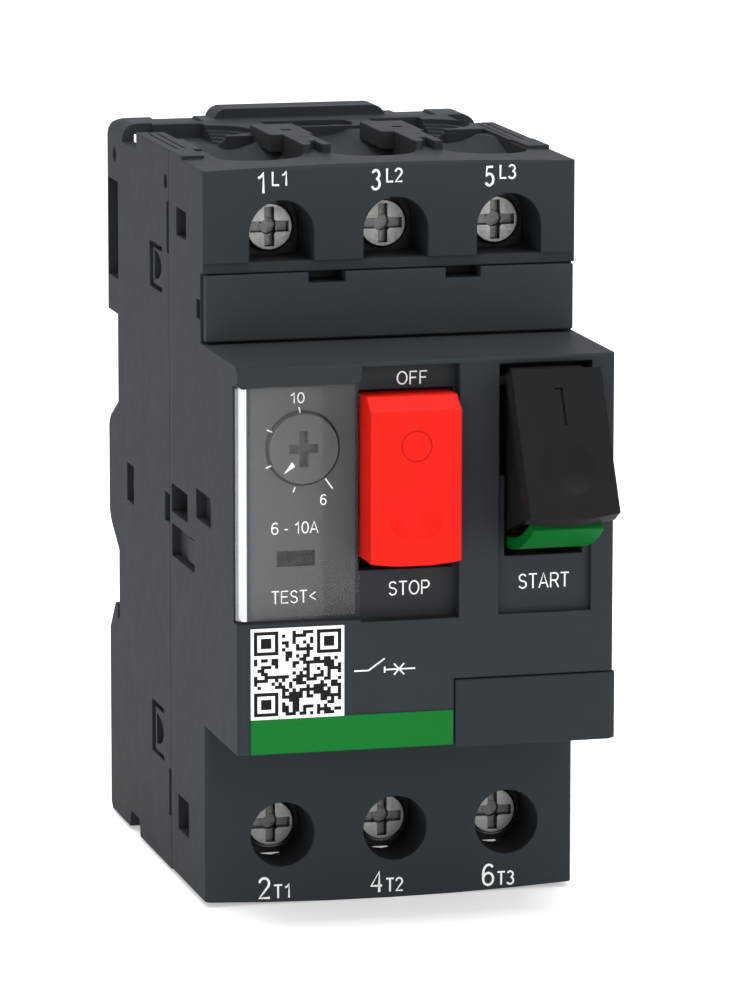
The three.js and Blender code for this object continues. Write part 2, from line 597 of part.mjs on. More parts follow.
// ---------- mechanism ----------
const mechanismFrame = () => shape(
  [
    box(-8.6, 5.0, -50.0, -48.5, -16.0, 18.0),
    box(-8.6, -7.4, -57.5, -48.0, -10.0, 14.0),
    box(3.8, 5.0, -57.5, -48.0, -10.0, 14.0),
  ],
  [
    box(-5.0, 1.4, -51.0, -48.0, -6.0, 8.0),
    rodX(-54.5, 10.0, 1.2, -9.0, 6.0, 16),
    rodX(-54.5, -4.0, 1.2, -9.0, 6.0, 16),
  ],
);

const latchLever = () => {
  const lever = new THREE.Shape();
  lever.absarc(0, 0, 2.2, Math.PI * 0.25, Math.PI * 1.5);
  lever.lineTo(0.6, -9.0);
  lever.lineTo(2.2, -9.0);
  lever.lineTo(2.6, -1.4);
  lever.closePath();
  return shape([prismX(lever, -1.5, 1.5, 10)], [rodX(0, 0, 1.05, -2, 2, 16)]);
};

const tripBar = () => {
  const added = [box(-18.0, 17.6, -1.2, 0, -1.2, 1.2)];
  for (const x of POLES) {
    added.push(box(x - 3.6, x - 2.8, -0.6, 3.2, -1.2, 1.2));
  }
  return shape(added);
};

const contactCarrier = () => {
  const added = [
    box(-17.4, 18.6, -44.6, -42.6, -3.2, 3.2),
    box(-4.2, 0.6, -47.6, -44.0, -2.0, 2.0),
  ];
  const removed = [];
  for (const x of POLES) {
    added.push(box(x - 3.4, x + 3.4, -43.0, -27.0, -3.0, 3.0));
    removed.push(box(x - 2.3, x + 2.3, -40.0, -28.2, -3.6, 3.6));
  }
  return shape(added, removed);
};

// ---------- current path, one set per pole ----------
const STRIP_HALF = 3.8;
const lineTerminal = () => shape(
  [prismX(outline([
    [-37.8, 40.0], [-37.8, 20.2], [-25.2, 20.2], [-25.2, 6.0], [-24.0, 6.0], [-24.0, 21.4],
    [-36.6, 21.4], [-36.6, 40.0],
  ]), -STRIP_HALF, STRIP_HALF), box(-2.0, 2.0, -26.0, -25.0, 6.4, 9.4)],
  [rodY(0, SCREW_Z, 2.2, -39, -35, 16)],
);

const loadTerminal = () => shape(
  [prismX(outline([
    [-37.8, -40.0], [-36.6, -40.0], [-36.6, -21.4], [-24.0, -21.4], [-24.0, -20.2], [-37.8, -20.2],
  ]), -STRIP_HALF, STRIP_HALF)],
  [rodY(0, -SCREW_Z, 2.2, -39, -35, 16)],
);

const loadContact = () => shape([
  prismX(outline([
    [-25.2, -6.0], [-24.0, -6.0], [-24.0, -8.4], [-21.0, -8.4], [-21.0, -9.6], [-25.2, -9.6],
  ]), -STRIP_HALF, STRIP_HALF),
  box(-2.0, 2.0, -26.0, -25.0, -9.4, -6.4),
]);

const contactBridge = () => shape([
  box(-2.0, 2.0, -31.6, -30.2, -9.6, 9.6),
  box(-1.8, 1.8, -30.6, -29.4, 6.6, 9.2),
  box(-1.8, 1.8, -30.6, -29.4, -9.2, -6.6),
]);

const PLATE_COUNT = 6;
const arcChute = () => {
  const added = [box(-5.2, -4.4, -20.8, -9.4, 5.6, 19.4), box(4.4, 5.2, -20.8, -9.4, 5.6, 19.4)];
  for (let i = 0; i < PLATE_COUNT; i += 1) {
    const z = 6.2 + i * 2.4;
    added.push(prismZ(outline([
      [-4.8, -20.2], [-1.6, -20.2], [0, -15.5], [1.6, -20.2], [4.8, -20.2], [4.8, -9.8], [-4.8, -9.8],
    ]), z, z + 0.8));
  }
  return shape(added);
};

// Bobbin with a bore for the striker; the winding's turns show as ridges.
const magneticCoil = () => {
  const profile = [new THREE.Vector2(1.8, -4.2), new THREE.Vector2(4.9, -4.2), new THREE.Vector2(4.9, -3.5)];
  for (let i = 0; i < 5; i += 1) {
    const z = -3.5 + i * 1.4;
    profile.push(new THREE.Vector2(3.9, z + 0.05), new THREE.Vector2(4.4, z + 0.7));
  }
  profile.push(new THREE.Vector2(3.9, 3.5), new THREE.Vector2(4.9, 3.5), new THREE.Vector2(4.9, 4.2));
  profile.push(new THREE.Vector2(1.8, 4.2), new THREE.Vector2(1.8, -4.2));
  const geometry = new THREE.LatheGeometry(profile, 14);
  geometry.rotateX(Math.PI / 2);
  return geometry;
};

const striker = () => shape([
  rodZ(0, 0, 1.5, -3.8, 6.0, 16),
  rodZ(0, 0, 2.6, 5.2, 6.4, 16),
]);

const bimetal = () => prismX(outline([
  [-0.4, 0], [0.4, 0], [0.6, 7.0], [0.1, 13.2], [-0.7, 13.2], [-0.2, 7.0],
]), -2.4, 2.4);

const clampPlate = () => shape(
  [
    box(-4.0, 4.0, 0, 1.2, -4.2, 4.2),
    box(-4.0, 4.0, 0.9, 2.0, 3.4, 4.2),
    box(-4.0, 4.0, 0.9, 2.0, -4.2, -3.4),
  ],
  [rodY(0, 0, 2.2, -1, 3, 16)],
);

// Cross recess head: a low chamfer and four broad arms round a deeper middle.
const clampScrew = () => {
  const head = new THREE.LatheGeometry([
    new THREE.Vector2(0, -2.3), new THREE.Vector2(2.7, -2.3), new THREE.Vector2(SCREW_HEAD_R, -2.0),
    new THREE.Vector2(SCREW_HEAD_R, 0), new THREE.Vector2(0, 0),
  ], 24);
  return shape(
    [head, rodY(0, 0, SHANK_R, -0.4, 9.6, 16)],
    [
      box(-2.3, 2.3, -3.0, -1.2, -0.6, 0.6),
      box(-0.55, 0.55, -3.0, -1.2, -2.3, 2.3),
      rodY(0, 0, 1.0, -3.0, -0.7, 8),
    ],
  );
};

// ---------- rail latch ----------
const dinLatch = () => {
  const side = outline([
    [-4.3, -42.9], [-0.5, -42.9], [-0.5, -16.6], [-1.4, -14.3], [-3.4, -14.3], [-4.3, -16.0],
  ]);
  return shape(
    [prismX(side, -9.0, 9.0)],
    [
      box(-2.3, 2.3, -5.0, 0.2, -38.3, -27.0),
      box(-4.0, 4.0, -5.0, 0.2, -42.0, -40.6),
    ],
  );
};

// ---------- assembly ----------
place('base_housing', baseHousing(), darkGrey());
place('front_housing', frontHousing(), darkGrey());
place('marker_strip', markerStrip(), darkGrey());
place('aux_slot_cap', auxSlotCap(), midGrey());
place('front_label', frontLabel(), paint(0xf2f2ee, 0.5));

place('sealing_cover', sealingCover(), clear(), [0, 0, -6.5]);
place('setting_dial', settingDial(), midGrey(), [DIAL.x, COVER_FLOOR_Y, DIAL.z]);
place('test_slider', testSlider(), midGrey(), [-14.2, COVER_FLOOR_Y, 0.16]);
place('stop_button', stopButton(), paint(0xe8302a, 0.4), [-2.05, STOP_PIVOT.y, STOP_PIVOT.z]);

const rocker = new THREE.Group();
rocker.position.set(13.95, START_PIVOT.y, START_PIVOT.z);
rocker.rotation.x = -START_TILT;
breaker.add(rocker);
place('start_button', startButton(), black(), [0, 0, 0], rocker);
place('start_indicator', startIndicator(), paint(0x0a7a34, 0.45), [0, 0, 0], rocker);

place('start_pin', rodX(START_PIVOT.y, START_PIVOT.z, 0.75, 8.6, 19.3, 12), steel());
place('stop_pin', rodX(STOP_PIVOT.y, STOP_PIVOT.z, 0.75, -8.4, 4.3, 12), steel());
place('mechanism_frame', mechanismFrame(), steel());
place('latch_lever', latchLever(), steel(), [-1.8, -54.5, 10.0]);
place('lever_pin', rodX(-54.5, 10.0, 0.95, -8.8, 5.2, 12), steel());
place('trip_bar', tripBar(), midGrey(), [0, -40.2, -8.6]);
place('contact_carrier', contactCarrier(), midGrey());

const mainSpring = coilSpring(2.2, 0.35, 9.6, 5);
mainSpring.rotateX(Math.PI / 2);
place('main_spring', mainSpring, steel(), [-13.0, -45.2, 0]);
const stopSpring = coilSpring(2.0, 0.3, 6.0, 4);
stopSpring.rotateX(Math.PI / 2);
place('stop_spring', stopSpring, steel(), [-2.05, -58.6, 1.6]);

POLES.forEach((x, i) => {
  const n = i + 1;
  place(`line_terminal_${n}`, lineTerminal(), copper(), [x, 0, 0]);
  place(`load_terminal_${n}`, loadTerminal(), copper(), [x, 0, 0]);
  place(`load_contact_${n}`, loadContact(), copper(), [x, 0, 0]);
  place(`contact_bridge_${n}`, contactBridge(), brass(), [x, 0, 0]);
  place(`arc_chute_${n}`, arcChute(), steel(), [x, 0, 0]);
  place(`magnetic_coil_${n}`, magneticCoil(), copper(), [x, -15.0, -15.6]);
  place(`striker_${n}`, striker(), steel(), [x, -15.0, -15.6]);
  place(`bimetal_${n}`, bimetal(), brass(), [x, -38.6, -20.0]);
  for (const [row, z] of [['line', SCREW_Z], ['load', -SCREW_Z]]) {
    place(`${row}_clamp_${n}`, clampPlate(), steel(), [x, -44.1, z]);
    place(`${row}_screw_${n}`, clampScrew(), steel(), [x, -44.3, z]);
  }
});

place('din_latch', dinLatch(), black());
const latchSpring = coilSpring(1.5, 0.25, 9.1, 6);
place('din_latch_spring', latchSpring, steel(), [0, -2.6, -36.3]);

export default breaker;
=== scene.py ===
import math

import bmesh
import bpy
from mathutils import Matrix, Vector


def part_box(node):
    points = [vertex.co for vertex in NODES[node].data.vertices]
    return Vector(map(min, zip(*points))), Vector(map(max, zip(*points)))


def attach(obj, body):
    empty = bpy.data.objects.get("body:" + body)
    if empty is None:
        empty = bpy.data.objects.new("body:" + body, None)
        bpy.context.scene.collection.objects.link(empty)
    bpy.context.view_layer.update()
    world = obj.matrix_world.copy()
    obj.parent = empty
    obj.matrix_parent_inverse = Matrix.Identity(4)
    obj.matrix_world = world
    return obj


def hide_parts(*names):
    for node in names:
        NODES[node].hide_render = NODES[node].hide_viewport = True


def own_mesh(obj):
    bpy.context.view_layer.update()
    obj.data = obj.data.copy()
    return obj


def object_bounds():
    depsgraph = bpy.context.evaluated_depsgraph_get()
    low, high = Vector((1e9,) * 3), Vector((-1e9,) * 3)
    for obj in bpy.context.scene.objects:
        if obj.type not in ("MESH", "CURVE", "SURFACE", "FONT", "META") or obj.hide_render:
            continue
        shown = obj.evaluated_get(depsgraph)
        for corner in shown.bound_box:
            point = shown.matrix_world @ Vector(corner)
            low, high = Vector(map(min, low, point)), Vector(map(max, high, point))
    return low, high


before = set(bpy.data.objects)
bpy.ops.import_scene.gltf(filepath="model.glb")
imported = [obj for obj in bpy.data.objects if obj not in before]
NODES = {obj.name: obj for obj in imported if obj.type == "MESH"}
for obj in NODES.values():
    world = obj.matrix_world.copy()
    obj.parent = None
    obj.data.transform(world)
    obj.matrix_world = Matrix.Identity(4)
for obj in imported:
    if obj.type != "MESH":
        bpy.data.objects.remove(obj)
cad_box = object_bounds()

MM = 0.001

def middle(node):
    """The middle of a node's box as (x, z), in millimetres."""
    low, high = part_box(node)
    return (low.x + high.x) / 2 / MM, (low.z + high.z) / 2 / MM


# ---------- places read from the frame: metres, and (x, z) middles in millimetres ----------
BROW = 0.3 * MM                        # how far the nose's brow stands in front of its face
NOSE_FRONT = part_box("front_housing")[0].y + BROW
START_FLOOR = NOSE_FRONT + 0.8 * MM    # the field below the start control lies deeper than the nose
FACE_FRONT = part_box("marker_strip")[0].y
DIAL_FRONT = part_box("setting_dial")[0].y
SETTING_FLOOR = DIAL_FRONT + 0.7 * MM  # the dial stands this far out of its recess
LABEL_LO, LABEL_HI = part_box("front_label")
GREEN_BAND = 4.05 * MM                 # height of the label's green band
STOP_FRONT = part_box("stop_button")[0].y
DIAL_MIDDLE = middle("setting_dial")
STOP_MIDDLE = middle("stop_button")
START_MIDDLE = (middle("start_button")[0], STOP_MIDDLE[1])
SCREW_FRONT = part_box("line_screw_1")[0].y
PRINT = 0.02 * MM                      # thickness of printed ink

# ---------- surface detail: noise scales are in cycles per metre, heights in metres ----------
NOISE_ROUGHNESS = 0.55
FLOW_SCALE, GLOSS_SCALE, GRAIN_SCALE = 60, 420, 5200
STAIN_SCALE, SCRATCH_SCALE = 260, 2600
INK_SCALE, FILM_SCALE = 2400, 1800
GRAIN_HEIGHT, SCRATCH_HEIGHT, INK_HEIGHT = 0.04 * MM, 0.03 * MM, 0.02 * MM
GLOSS_SPREAD = 0.03
INK_GLOSS_SPREAD = 0.06
EDGE_SAMPLES = 4

# ---------- rounding of the CAD nodes' edges ----------
WELD_DISTANCE = 0.002 * MM
FLAT_ANGLE = math.radians(0.6)
BEVEL_ANGLE = math.radians(28)
BEVEL_SEGMENTS = 2


# ---------- material building ----------
def new_material(name):
    material = bpy.data.materials.new(name)
    material.use_nodes = True
    tree = material.node_tree
    tree.nodes.clear()
    output = tree.nodes.new("ShaderNodeOutputMaterial")
    shader = tree.nodes.new("ShaderNodeBsdfPrincipled")
    tree.links.new(shader.outputs["BSDF"], output.inputs["Surface"])
    return material, tree, shader


def object_coordinates(tree):
    return tree.nodes.new("ShaderNodeTexCoord").outputs["Object"]


def noise(tree, vector, scale, detail):
    node = tree.nodes.new("ShaderNodeTexNoise")
    node.inputs["Scale"].default_value = scale
    node.inputs["Detail"].default_value = detail
    node.inputs["Roughness"].default_value = NOISE_ROUGHNESS
    tree.links.new(vector, node.inputs["Vector"])
    return node.outputs["Fac"]


def ramp(tree, value, stops):
    node = tree.nodes.new("ShaderNodeValToRGB")
    elements = node.color_ramp.elements
    elements[0].position, elements[0].color = stops[0][0], (*stops[0][1], 1)
    elements[1].position, elements[1].color = stops[-1][0], (*stops[-1][1], 1)
    for position, colour in stops[1:-1]:
        element = elements.new(position)
        element.color = (*colour, 1)
    tree.links.new(value, node.inputs["Fac"])
    return node.outputs["Color"]


def grey_ramp(tree, value, low, high):
    return ramp(tree, value, [(0.3, (low,) * 3), (0.7, (high,) * 3)])


def bump(tree, shader, height, strength, distance, edge=0.0):
    node = tree.nodes.new("ShaderNodeBump")
    if edge > 0:
        rounding = tree.nodes.new("ShaderNodeBevel")
        rounding.samples = EDGE_SAMPLES
        rounding.inputs["Radius"].default_value = edge
        tree.links.new(rounding.outputs["Normal"], node.inputs["Normal"])
    node.inputs["Strength"].default_value = strength
    node.inputs["Distance"].default_value = distance
    tree.links.new(height, node.inputs["Height"])
    tree.links.new(node.outputs["Normal"], shader.inputs["Normal"])


def scaled(colour, factor):
    return tuple(min(1.0, c * factor) for c in colour)


def moulded_plastic(name, colour, roughness, grain, variation=0.03, specular=0.02, edge=0.25 * MM):
    """Injection-moulded plastic: a fine spark-eroded grain, faint flow marks and uneven gloss."""
    material, tree, shader = new_material(name)
    where = object_coordinates(tree)
    broad = noise(tree, where, FLOW_SCALE, 3)
    fine = noise(tree, where, GRAIN_SCALE, 2)
    colours = [(0.3, scaled(colour, 1 - variation)), (0.55, colour), (0.8, scaled(colour, 1 + variation))]
    tree.links.new(ramp(tree, broad, colours), shader.inputs["Base Color"])
    uneven = noise(tree, where, GLOSS_SCALE, 4)
    gloss = grey_ramp(tree, uneven, roughness - GLOSS_SPREAD, roughness + GLOSS_SPREAD)
    tree.links.new(gloss, shader.inputs["Roughness"])
    shader.inputs["Specular IOR Level"].default_value = specular
    bump(tree, shader, fine, grain, GRAIN_HEIGHT, edge)
    return material


def metal(name, colour, roughness=0.3, stretch=(1, 1, 1), scratch=0.15, stain=0.1, edge_tint=1.0):
    """Stamped or turned metal with drawn scratches and a slightly uneven surface."""
    material, tree, shader = new_material(name)
    where = object_coordinates(tree)
    mapping = tree.nodes.new("ShaderNodeMapping")
    mapping.inputs["Scale"].default_value = stretch
    tree.links.new(where, mapping.inputs["Vector"])
    lines = noise(tree, mapping.outputs["Vector"], SCRATCH_SCALE, 3)
    cloud = noise(tree, where, STAIN_SCALE, 4)
    colours = [(0.3, scaled(colour, 1 - stain)), (0.7, scaled(colour, 1 + stain))]
    tree.links.new(ramp(tree, cloud, colours), shader.inputs["Base Color"])
    tree.links.new(grey_ramp(tree, lines, roughness - 0.08, roughness + 0.1), shader.inputs["Roughness"])
    shader.inputs["Metallic"].default_value = 1.0
    shader.inputs["Specular Tint"].default_value = (edge_tint, edge_tint, edge_tint, 1)
    bump(tree, shader, lines, scratch, SCRATCH_HEIGHT)
    return material


def shade_recess(material, front, depth):
    """Metal that darkens with depth behind a screw's face, where light hardly reaches."""
    tree = material.node_tree
    shader = next(node for node in tree.nodes if node.type == "BSDF_PRINCIPLED")
    base = shader.inputs["Base Color"].links[0].from_socket
    split = tree.nodes.new("ShaderNodeSeparateXYZ")
    tree.links.new(object_coordinates(tree), split.inputs["Vector"])
    fall = tree.nodes.new("ShaderNodeMapRange")
    fall.inputs["From Min"].default_value = front
    fall.inputs["From Max"].default_value = front + depth
    fall.inputs["To Min"].default_value = 1.0
    fall.inputs["To Max"].default_value = 0.5
    tree.links.new(split.outputs["Y"], fall.inputs["Value"])
    dim = tree.nodes.new("ShaderNodeVectorMath")
    dim.operation = "SCALE"
    tree.links.new(base, dim.inputs["Vector"])
    tree.links.new(fall.outputs["Result"], dim.inputs["Scale"])
    tree.links.new(dim.outputs["Vector"], shader.inputs["Base Color"])


def ink(name, colour, roughness):
    """Pad-printed ink, with a slightly uneven film."""
    material, tree, shader = new_material(name)
    where = object_coordinates(tree)
    film = noise(tree, where, INK_SCALE, 3)
    colours = [(0.2, scaled(colour, 0.93)), (0.7, scaled(colour, 1.03))]
    tree.links.new(ramp(tree, film, colours), shader.inputs["Base Color"])
    gloss = grey_ramp(tree, film, roughness - INK_GLOSS_SPREAD, roughness + INK_GLOSS_SPREAD)
    tree.links.new(gloss, shader.inputs["Roughness"])
    shader.inputs["Specular IOR Level"].default_value = 0.05
    bump(tree, shader, film, 0.1, INK_HEIGHT)
    return material


HOUSING = moulded_plastic("housing_plastic", (0.0300, 0.0352, 0.0400), 0.55, 0.3)
STRIP = moulded_plastic("strip_plastic", (0.0350, 0.0415, 0.0465), 0.52, 0.25)
CAP = moulded_plastic("cap_plastic", (0.0275, 0.0325, 0.0368), 0.55, 0.3)
DIAL = moulded_plastic("dial_plastic", (0.070, 0.074, 0.077), 0.5, 0.15)
RED = moulded_plastic("stop_plastic", (0.74, 0.013, 0.007), 0.4, 0.08, 0.03, 0.06, edge=0.35 * MM)
BLACK = moulded_plastic("start_plastic", (0.0135, 0.0140, 0.0148), 0.45, 0.15, 0.04, 0.03)
GREEN = moulded_plastic("indicator_plastic", (0.001, 0.100, 0.015), 0.45, 0.08, 0.04, 0.04)
LATCH = moulded_plastic("latch_plastic", (0.007, 0.007, 0.008), 0.45, 0.25)
INSULATOR = moulded_plastic("insulator_plastic", (0.30, 0.25, 0.17), 0.55, 0.4)
SCREW_METAL = metal("zinc_plated_screw", (0.20, 0.197, 0.188), 0.36, scratch=0.3, stain=0.2)
# Clamp colour darkened nearly to black: painted shade for the deep terminal wells the clamps sit in.
SHADED_CLAMP_METAL = metal("zinc_plated_clamp_painted_shade", (0.045, 0.045, 0.045), 0.5, (1, 6, 1), edge_tint=0.25)
SHEET_METAL = metal("sheet_steel", (0.56, 0.57, 0.58), 0.38, (1, 1, 7))
BURNISHED = metal("burnished_pin", (0.03, 0.03, 0.03), 0.5)
WIRE_METAL = metal("spring_wire", (0.60, 0.60, 0.61), 0.3)
COPPER = metal("copper_strip", (0.85, 0.46, 0.30), 0.32, (1, 1, 6))
BRASS = metal("brass_strip", (0.76, 0.60, 0.30), 0.3, (1, 1, 6))
shade_recess(SCREW_METAL, SCREW_FRONT + 0.1 * MM, 1.0 * MM)
WHITE_INK = ink("white_ink", (0.93, 0.94, 0.94), 0.55)
BLACK_INK = ink("black_ink", (0.012, 0.012, 0.013), 0.55)


# ---------- finishing CAD nodes ----------
def soften(node, bevel):
    """Rounded moulding edges on a CAD node, by modifiers only."""
    item = NODES[node]
    weld = item.modifiers.new("weld", "WELD")
    weld.merge_threshold = WELD_DISTANCE
    flat = item.modifiers.new("flat", "DECIMATE")
    flat.decimate_type = "DISSOLVE"
    flat.angle_limit = FLAT_ANGLE
    edge = item.modifiers.new("edge", "BEVEL")
    edge.width = bevel
    edge.segments = BEVEL_SEGMENTS
    edge.limit_method = "ANGLE"
    edge.angle_limit = BEVEL_ANGLE
    edge.use_clamp_overlap = True
    edge.harden_normals = False
    normals = item.modifiers.new("normals", "WEIGHTED_NORMAL")
    normals.keep_sharp = False


def smooth(mesh):
    for face in mesh.polygons:
        face.use_smooth = True


def paint(node, material):
    item = NODES[node]
    item.data.materials.clear()
    item.data.materials.append(material)


def finish_nodes():
    """Each group's nodes, their material and the radius of their edges in millimetres."""
    poles = ("1", "2", "3")
    rows = ("line", "load")
    groups = [
        (["base_housing", "front_housing"], HOUSING, 0.16),
        (["marker_strip"], STRIP, 0.12),
        (["aux_slot_cap"], CAP, 0.15),
        (["setting_dial"], DIAL, 0.08),
        (["test_slider"], LATCH, 0.08),
        (["stop_button"], RED, 0.3),
        (["start_button"], BLACK, 0.3),
        (["start_indicator"], GREEN, 0.12),
        (["din_latch"], LATCH, 0.2),
        (["contact_carrier", "trip_bar"], INSULATOR, 0.15),
        (["mechanism_frame", "latch_lever", "lever_pin"], SHEET_METAL, 0.08),
        (["start_pin", "stop_pin"], BURNISHED, 0.06),
        ([f"arc_chute_{n}" for n in poles] + [f"striker_{n}" for n in poles], SHEET_METAL, 0.06),
        ([f"{row}_screw_{n}" for row in rows for n in poles], SCREW_METAL, 0.1),
        ([f"{row}_clamp_{n}" for row in rows for n in poles], SHADED_CLAMP_METAL, 0.1),
        ([f"{row}_terminal_{n}" for row in rows for n in poles], COPPER, 0.08),
        ([f"load_contact_{n}" for n in poles] + [f"magnetic_coil_{n}" for n in poles], COPPER, 0.06),
        ([f"contact_bridge_{n}" for n in poles] + [f"bimetal_{n}" for n in poles], BRASS, 0.06),
        (["main_spring", "stop_spring", "din_latch_spring"], WIRE_METAL, 0.0),
    ]
    for nodes, material, radius in groups:
        for node in nodes:
            paint(node, material)
            smooth(NODES[node].data)
            if radius > 0:
                soften(node, radius * MM)


def pressed_spring(node):
    """A copy of a spring in the housing body, in the spring's place, with the original hidden."""
    coil = add_piece(f"{node}_coil", NODES[node].data.copy(), WIRE_METAL, "housing")
    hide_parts(node)
    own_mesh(coil)


def springs():
    pressed_spring("stop_spring")
    pressed_spring("din_latch_spring")


def clear_cover():
    """Clear polycarbonate: a painted highlight along its hinge side, less transparent over its left part.
    """
    material, tree, shader = new_material("clear_polycarbonate")
    where = object_coordinates(tree)
    low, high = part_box("sealing_cover")
    split = tree.nodes.new("ShaderNodeSeparateXYZ")
    tree.links.new(where, split.inputs["Vector"])
    across = tree.nodes.new("ShaderNodeMapRange")
    across.inputs["From Min"].default_value = low.x
    across.inputs["From Max"].default_value = high.x
    tree.links.new(split.outputs["X"], across.inputs["Value"])
    bright, clear, step = 0.037, 0.076, 0.70   # shares of the cover's width
    fade = 0.004
    # The near-opaque stretch from bright + fade to clear - fade is a painted highlight where the cover's
    # edge catches the light.
    opacities = [
        (0.0, 0.2), (bright, 0.2), (bright + fade, 0.97), (clear - fade, 0.97),
        (clear, 0.040), (step, 0.024), (step + 0.01, 0.010), (1.0, 0.008),
    ]
    painted_highlight_and_opacity = ramp(tree, across.outputs["Result"], [(place, (value,) * 3) for place, value in opacities])
    tree.links.new(painted_highlight_and_opacity, shader.inputs["Alpha"])
    cloud = noise(tree, where, 160, 4)
    tree.links.new(ramp(tree, cloud, [(0.3, (0.78, 0.82, 0.84)), (0.7, (0.84, 0.87, 0.89))]),
                   shader.inputs["Base Color"])
    tree.links.new(grey_ramp(tree, noise(tree, where, 700, 3), 0.08, 0.14), shader.inputs["Roughness"])
    shader.inputs["IOR"].default_value = 1.585
    shader.inputs["Specular IOR Level"].default_value = 0.05
    paint("sealing_cover", material)
    smooth(NODES["sealing_cover"].data)
    soften("sealing_cover", 0.08 * MM)


def label_film():
    """Printed film: white above, green band below."""
    material, tree, shader = new_material("label_film")
    where = object_coordinates(tree)
    split = tree.nodes.new("ShaderNodeSeparateXYZ")
    tree.links.new(where, split.inputs["Vector"])
    band = tree.nodes.new("ShaderNodeMath")
    band.operation = "GREATER_THAN"
    band.inputs[1].default_value = LABEL_LO.z + GREEN_BAND
    tree.links.new(split.outputs["Z"], band.inputs[0])
    film = noise(tree, where, FILM_SCALE, 3)
    white = ramp(tree, film, [(0.2, (0.90, 0.91, 0.90)), (0.8, (0.96, 0.97, 0.96))])
    green = ramp(tree, film, [(0.2, (0.001, 0.132, 0.015)), (0.8, (0.002, 0.150, 0.020))])
    mix = tree.nodes.new("ShaderNodeMix")
    mix.data_type = "RGBA"
    tree.links.new(band.outputs["Value"], mix.inputs["Factor"])
    tree.links.new(green, mix.inputs["A"])
    tree.links.new(white, mix.inputs["B"])
    tree.links.new(mix.outputs["Result"], shader.inputs["Base Color"])
    tree.links.new(grey_ramp(tree, film, 0.42, 0.52), shader.inputs["Roughness"])
    bump(tree, shader, film, 0.08, INK_HEIGHT)
    shader.inputs["Specular IOR Level"].default_value = 0.1
    paint("front_label", material)


# ---------- printed marks ----------
def add_piece(name, mesh, material, body):
    piece = bpy.data.objects.new(name, mesh)
    bpy.context.scene.collection.objects.link(piece)
    mesh.materials.clear()
    mesh.materials.append(material)
    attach(piece, body)
    return piece


def arc(x, z, rx, rz, start, end, steps=14):
    """Points of an elliptical arc between two angles in degrees."""
    angles = [math.radians(start + (end - start) * i / steps) for i in range(steps + 1)]
    return [(x + rx * math.cos(a), z + rz * math.sin(a)) for a in angles]


# Strokes of each character in a box one unit high, with the character's width.
GLYPHS = {
    "0": (0.58, [arc(0.29, 0.5, 0.26, 0.47, 0, 360, 24)]),
    "1": (0.50, [[(0.08, 0.74), (0.24, 0.83), (0.36, 1.0), (0.36, 0.0)]]),
    "2": (0.58, [arc(0.28, 0.71, 0.24, 0.25, 170, -35) + [(0.04, 0.04), (0.56, 0.04)]]),
    "3": (0.58, [arc(0.28, 0.74, 0.22, 0.22, 155, -70) + arc(0.27, 0.28, 0.26, 0.26, 70, -155)]),
    "4": (0.60, [[(0.43, 0.0), (0.43, 0.95), (0.02, 0.3), (0.58, 0.3)]]),
    "5": (0.58, [[(0.52, 0.95), (0.14, 0.95), (0.07, 0.5)] + arc(0.28, 0.32, 0.26, 0.29, 125, -150)]),
    "6": (0.58, [arc(0.33, 0.55, 0.28, 0.42, 45, 180) + [(0.05, 0.35)],
                 arc(0.3, 0.31, 0.25, 0.28, 0, 360, 24)]),
    "L": (0.54, [[(0.06, 1.0), (0.06, 0.05), (0.52, 0.05)]]),
    "T": (0.62, [[(0.01, 0.95), (0.61, 0.95)], [(0.31, 0.95), (0.31, 0.0)]]),
    "S": (0.64, [arc(0.32, 0.73, 0.24, 0.22, 20, 250) + arc(0.32, 0.27, 0.26, 0.23, 80, -160)]),
    "O": (0.76, [arc(0.38, 0.5, 0.34, 0.46, 0, 360, 28)]),
    "P": (0.62, [[(0.06, 0.0), (0.06, 0.95), (0.36, 0.95)] + arc(0.36, 0.7, 0.23, 0.25, 90, -90)
                 + [(0.06, 0.45)]]),
    "F": (0.58, [[(0.06, 0.0), (0.06, 0.95), (0.56, 0.95)], [(0.06, 0.5), (0.48, 0.5)]]),
    "A": (0.68, [[(0.01, 0.0), (0.34, 1.0), (0.67, 0.0)], [(0.13, 0.32), (0.55, 0.32)]]),
    "R": (0.66, [[(0.06, 0.0), (0.06, 0.95), (0.38, 0.95)] + arc(0.38, 0.71, 0.22, 0.24, 90, -90)
                 + [(0.06, 0.47)], [(0.38, 0.47), (0.64, 0.0)]]),
    "E": (0.62, [[(0.6, 0.95), (0.06, 0.95), (0.06, 0.05), (0.61, 0.05)], [(0.06, 0.52), (0.54, 0.52)]]),
    "-": (0.32, [[(0.02, 0.38), (0.3, 0.38)]]),
    "<": (0.58, [[(0.54, 0.8), (0.08, 0.5), (0.54, 0.2)]]),
    " ": (0.26, []),
}
LETTER_GAP = 0.13


def word_strokes(words, x0, x1, z0, z1):
    """The word's strokes in millimetres, stretched to fill the box."""
    strokes = []
    pen = 0.0
    for letter in words:
        width, paths = GLYPHS[letter]
        strokes += [[(pen + x, z) for x, z in path] for path in paths]
        pen += width + LETTER_GAP
    length = pen - LETTER_GAP
    return [[(x0 + x / length * (x1 - x0), z0 + z * (z1 - z0)) for x, z in stroke] for stroke in strokes]


def moved(points, anchor):
    """Points given from an anchor, as (x, z) in millimetres."""
    return [(anchor[0] + x, anchor[1] + z) for x, z in points]


